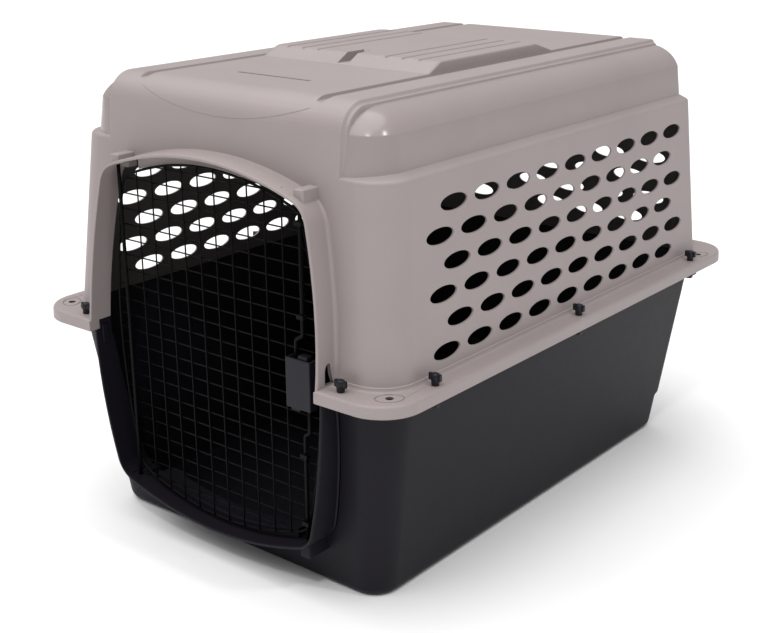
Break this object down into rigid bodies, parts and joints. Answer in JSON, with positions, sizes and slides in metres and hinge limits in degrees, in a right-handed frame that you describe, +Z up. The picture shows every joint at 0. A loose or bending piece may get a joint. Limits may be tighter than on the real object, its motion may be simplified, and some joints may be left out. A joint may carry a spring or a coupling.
{
  "type": "pet transport carrier",
  "caption": "Two-part plastic pet carrier with oval side vents, a bolted flange, a hooded doorway and a hinged wire door with a squeeze latch.",
  "frame": {"origin": "centre of the footprint on the floor, halfway along and across the flange", "axes": "+Z up, -Y towards the door, +Y towards the rear wall, +X towards the side with the latch"},
  "size_m": [0.5892, 0.8138, 0.593],
  "materials": {
    "taupe_shell": "satin moulded polypropylene",
    "charcoal_tub": "satin moulded polypropylene",
    "slate_latch": "satin",
    "dark_hardware": "satin nylon",
    "black_wire": "black powder coat",
    "spring_steel": "drawn wire"
  },
  "bodies": {
    "carrier": {"top_shell": "taupe_shell", "base_tub": "charcoal_tub", "flange_bolt_1": "dark_hardware", "flange_bolt_2": "dark_hardware", "flange_bolt_3": "dark_hardware", "flange_bolt_4": "dark_hardware", "flange_bolt_5": "dark_hardware", "flange_bolt_6": "dark_hardware", "flange_bolt_7": "dark_hardware", "flange_bolt_8": "dark_hardware"},
    "door": {"door_wire_mesh": "black_wire", "door_hinge_rod": "black_wire", "latch_housing": "slate_latch", "latch_back_plate": "slate_latch", "latch_spring_upper": "spring_steel", "latch_spring_lower": "spring_steel", "rod_guide_1": "black_wire", "rod_guide_2": "black_wire", "rod_guide_3": "black_wire", "rod_guide_4": "black_wire"},
    "latch_upper": {"latch_slider_upper": "slate_latch", "latch_rod_upper": "black_wire"},
    "latch_lower": {"latch_slider_lower": "slate_latch", "latch_rod_lower": "black_wire"},
    "nut_1": {"wing_nut_1": "dark_hardware"},
    "nut_2": {"wing_nut_2": "dark_hardware"},
    "nut_3": {"wing_nut_3": "dark_hardware"},
    "nut_4": {"wing_nut_4": "dark_hardware"},
    "nut_5": {"wing_nut_5": "dark_hardware"},
    "nut_6": {"wing_nut_6": "dark_hardware"},
    "nut_7": {"wing_nut_7": "dark_hardware"},
    "nut_8": {"wing_nut_8": "dark_hardware"}
  },
  "joints": [
    {"name": "door_hinge", "type": "hinge", "parent": "carrier", "child": "door", "pos_m": [-0.1465, -0.376, 0.2724], "axis": [0, 0, -1], "range_deg": [0, 105]},
    {"name": "upper_rod_throw", "type": "slide", "parent": "door", "child": "latch_upper", "axis": [0, 0, 1], "range_m": [0, 0.01], "deforming": ["latch_spring_upper"]},
    {"name": "lower_rod_throw", "type": "slide", "parent": "door", "child": "latch_lower", "axis": [0, 0, -1], "range_m": [0, 0.01], "deforming": ["latch_spring_lower"]},
    {"name": "nut_1_turn", "type": "hinge", "parent": "carrier", "child": "nut_1", "pos_m": [-0.281, -0.311, 0.285], "axis": [0, 0, 1], "continuous": true},
    {"name": "nut_2_turn", "type": "hinge", "parent": "carrier", "child": "nut_2", "pos_m": [-0.281, -0.009, 0.285], "axis": [0, 0, 1], "continuous": true},
    {"name": "nut_3_turn", "type": "hinge", "parent": "carrier", "child": "nut_3", "pos_m": [-0.281, 0.299, 0.285], "axis": [0, 0, 1], "continuous": true},
    {"name": "nut_4_turn", "type": "hinge", "parent": "carrier", "child": "nut_4", "pos_m": [0.281, -0.311, 0.285], "axis": [0, 0, 1], "continuous": true},
    {"name": "nut_5_turn", "type": "hinge", "parent": "carrier", "child": "nut_5", "pos_m": [0.281, -0.009, 0.285], "axis": [0, 0, 1], "continuous": true},
    {"name": "nut_6_turn", "type": "hinge", "parent": "carrier", "child": "nut_6", "pos_m": [0.281, 0.299, 0.285], "axis": [0, 0, 1], "continuous": true},
    {"name": "nut_7_turn", "type": "hinge", "parent": "carrier", "child": "nut_7", "pos_m": [-0.213, -0.39, 0.285], "axis": [0, 0, 1], "continuous": true},
    {"name": "nut_8_turn", "type": "hinge", "parent": "carrier", "child": "nut_8", "pos_m": [0.213, -0.39, 0.285], "axis": [0, 0, 1], "continuous": true}
  ],
  "couplings": [
    {"joint": "lower_rod_throw", "follows": "upper_rod_throw", "ratio": 1}
  ]
}
